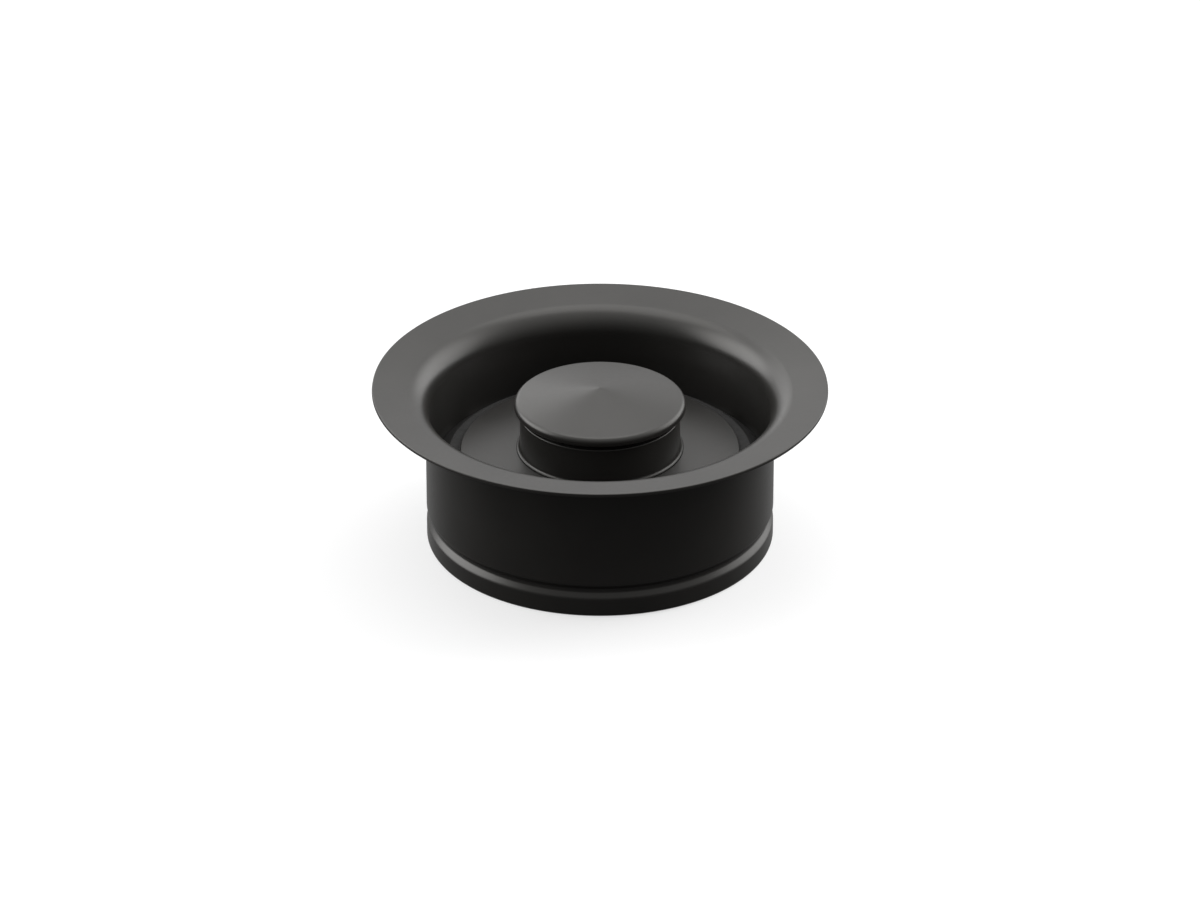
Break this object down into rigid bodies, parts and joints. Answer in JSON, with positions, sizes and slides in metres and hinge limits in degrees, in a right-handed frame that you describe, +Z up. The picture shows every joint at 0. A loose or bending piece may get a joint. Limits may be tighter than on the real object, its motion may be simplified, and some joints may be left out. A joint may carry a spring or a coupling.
{
  "type": "sink flange with stopper",
  "caption": "Matte black sink flange for a food-waste disposal: a dished rim on a grooved sleeve, with a lift-out stopper that has a round knob, a plate and a rubber seal.",
  "frame": {"origin": "centre of the flat ring that the sleeve stands on", "axes": "+Z up the common axis, from the sleeve to the rim; the fins lie at 45 degrees to +X and +Y"},
  "size_m": [0.1142, 0.1142, 0.0419],
  "materials": {
    "black_coat": "matte black coat, very fine texture",
    "seal_rubber": "moulded nitrile, matte",
    "moulded_acetal": "moulded, fine eggshell",
    "fastener_steel": "turned stainless steel"
  },
  "bodies": {
    "flange": {"flange_sleeve": "black_coat"},
    "seal": {"seal_ring": "seal_rubber"},
    "stopper": {"knob_cap": "black_coat", "knob_barrel": "black_coat", "stopper_plate": "black_coat", "seal_retainer": "moulded_acetal", "guide_cage": "moulded_acetal", "stem_o_ring": "seal_rubber", "flat_washer": "fastener_steel", "lock_washer": "fastener_steel", "clamp_screw": "fastener_steel"}
  },
  "joints": [
    {"name": "lift_out", "type": "slide", "parent": "flange", "child": "seal", "axis": [0, 0, 1], "range_m": [0, 0.05]},
    {"name": "knob_turn", "type": "hinge", "parent": "seal", "child": "stopper", "pos_m": [0, 0, 0.024], "axis": [0, 0, 1], "continuous": true}
  ]
}
